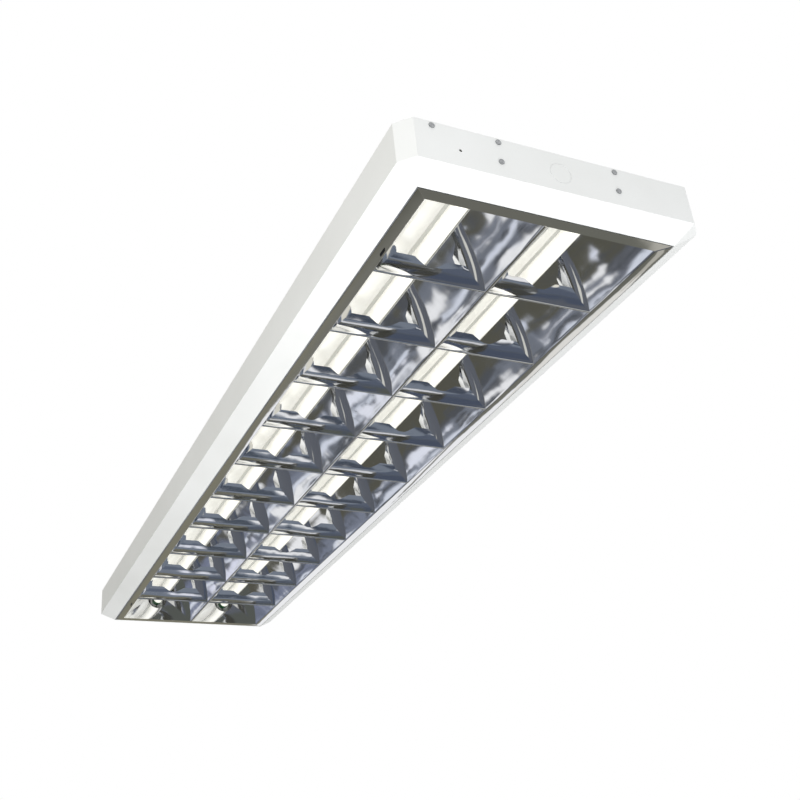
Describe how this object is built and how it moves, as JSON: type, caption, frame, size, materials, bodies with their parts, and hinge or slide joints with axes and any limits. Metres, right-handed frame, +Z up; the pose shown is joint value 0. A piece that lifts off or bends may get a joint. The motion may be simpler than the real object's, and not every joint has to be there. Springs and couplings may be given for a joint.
{
  "type": "louvred ceiling light",
  "caption": "Long slim white ceiling light with a bright parabolic louvre that hinges down from two tube lamps.",
  "frame": {"origin": "centre of the flat ceiling face on top of the housing", "axes": "+Z up out of the ceiling face, +Y along the lamps, the louvre faces -Z and hinges on the +X side"},
  "size_m": [0.295, 1.1966, 0.054],
  "materials": {
    "white_paint": "satin powder coat",
    "bright_aluminium": "bright specular anodised",
    "lamp_glass": "white phosphor behind clear glass",
    "lamp_cap": "green lacquered cap",
    "contact_brass": "plain",
    "holder_plastic": "moulded",
    "zinc_steel": "zinc plated",
    "spring_steel": "blued spring temper",
    "board_laminate": "laminate",
    "component_black": "moulded",
    "terminal_plastic": "moulded",
    "grommet_rubber": "moulded",
    "lead_white": "extruded sleeve"
  },
  "bodies": {
    "housing": {"ballast_base": "zinc_steel", "ballast_board": "board_laminate", "ballast_components": "component_black", "ballast_cover": "zinc_steel", "ballast_screws": "zinc_steel", "ballast_terminals": "terminal_plastic", "cable_grommet": "grommet_rubber", "earth_lug": "zinc_steel", "earth_nut": "zinc_steel", "earth_stud": "zinc_steel", "end_cap_far": "white_paint", "end_cap_near": "white_paint", "end_screws_far": "zinc_steel", "end_screws_near": "zinc_steel", "entry_plate": "white_paint", "hinge_pins": "zinc_steel", "holder_brackets_far": "zinc_steel", "holder_brackets_near": "zinc_steel", "housing_tray": "white_paint", "lampholder_far_left": "holder_plastic", "lampholder_far_right": "holder_plastic", "lampholder_near_left": "holder_plastic", "lampholder_near_right": "holder_plastic", "lead_clips": "terminal_plastic", "leads_lamps": "lead_white", "leads_mains": "lead_white", "terminal_block": "terminal_plastic", "terminal_screws": "zinc_steel"},
    "louvre": {"catch_fork_far": "zinc_steel", "catch_fork_near": "zinc_steel", "catch_pin_far": "zinc_steel", "catch_pin_near": "zinc_steel", "louvre_blade_01": "bright_aluminium", "louvre_blade_02": "bright_aluminium", "louvre_blade_03": "bright_aluminium", "louvre_blade_04": "bright_aluminium", "louvre_blade_05": "bright_aluminium", "louvre_blade_06": "bright_aluminium", "louvre_blade_07": "bright_aluminium", "louvre_blade_08": "bright_aluminium", "louvre_blade_09": "bright_aluminium", "louvre_blade_10": "bright_aluminium", "louvre_corner_plates": "zinc_steel", "louvre_end_far": "bright_aluminium", "louvre_end_near": "bright_aluminium", "louvre_side_left": "bright_aluminium", "louvre_side_right": "bright_aluminium", "louvre_spine": "bright_aluminium"},
    "catch_near": {"catch_lever_near": "spring_steel"},
    "catch_far": {"catch_lever_far": "spring_steel"},
    "lamp_left": {"holder_rotor_far_left": "holder_plastic", "holder_rotor_near_left": "holder_plastic", "lamp_caps_left": "lamp_cap", "lamp_pins_left": "contact_brass", "lamp_tube_left": "lamp_glass"},
    "lamp_right": {"holder_rotor_far_right": "holder_plastic", "holder_rotor_near_right": "holder_plastic", "lamp_caps_right": "lamp_cap", "lamp_pins_right": "contact_brass", "lamp_tube_right": "lamp_glass"}
  },
  "joints": [
    {"name": "louvre_hinge", "type": "hinge", "parent": "housing", "child": "louvre", "pos_m": [0.1239, 0, -0.0504], "axis": [0, -1, 0], "range_deg": [0, 85]},
    {"name": "catch_near_rock", "type": "hinge", "parent": "louvre", "child": "catch_near", "pos_m": [-0.1192, -0.49, -0.0484], "axis": [0, 1, 0], "range_deg": [0, 10], "stiffness_Nm_per_rad": 0.4},
    {"name": "catch_far_rock", "type": "hinge", "parent": "louvre", "child": "catch_far", "pos_m": [-0.1192, 0.49, -0.0484], "axis": [0, 1, 0], "range_deg": [0, 10], "stiffness_Nm_per_rad": 0.4},
    {"name": "lamp_left_turn", "type": "hinge", "parent": "housing", "child": "lamp_left", "pos_m": [-0.05775, 0, -0.016], "axis": [0, 1, 0], "range_deg": [0, 90]},
    {"name": "lamp_right_turn", "type": "hinge", "parent": "housing", "child": "lamp_right", "pos_m": [0.05775, 0, -0.016], "axis": [0, 1, 0], "range_deg": [0, 90]}
  ]
}
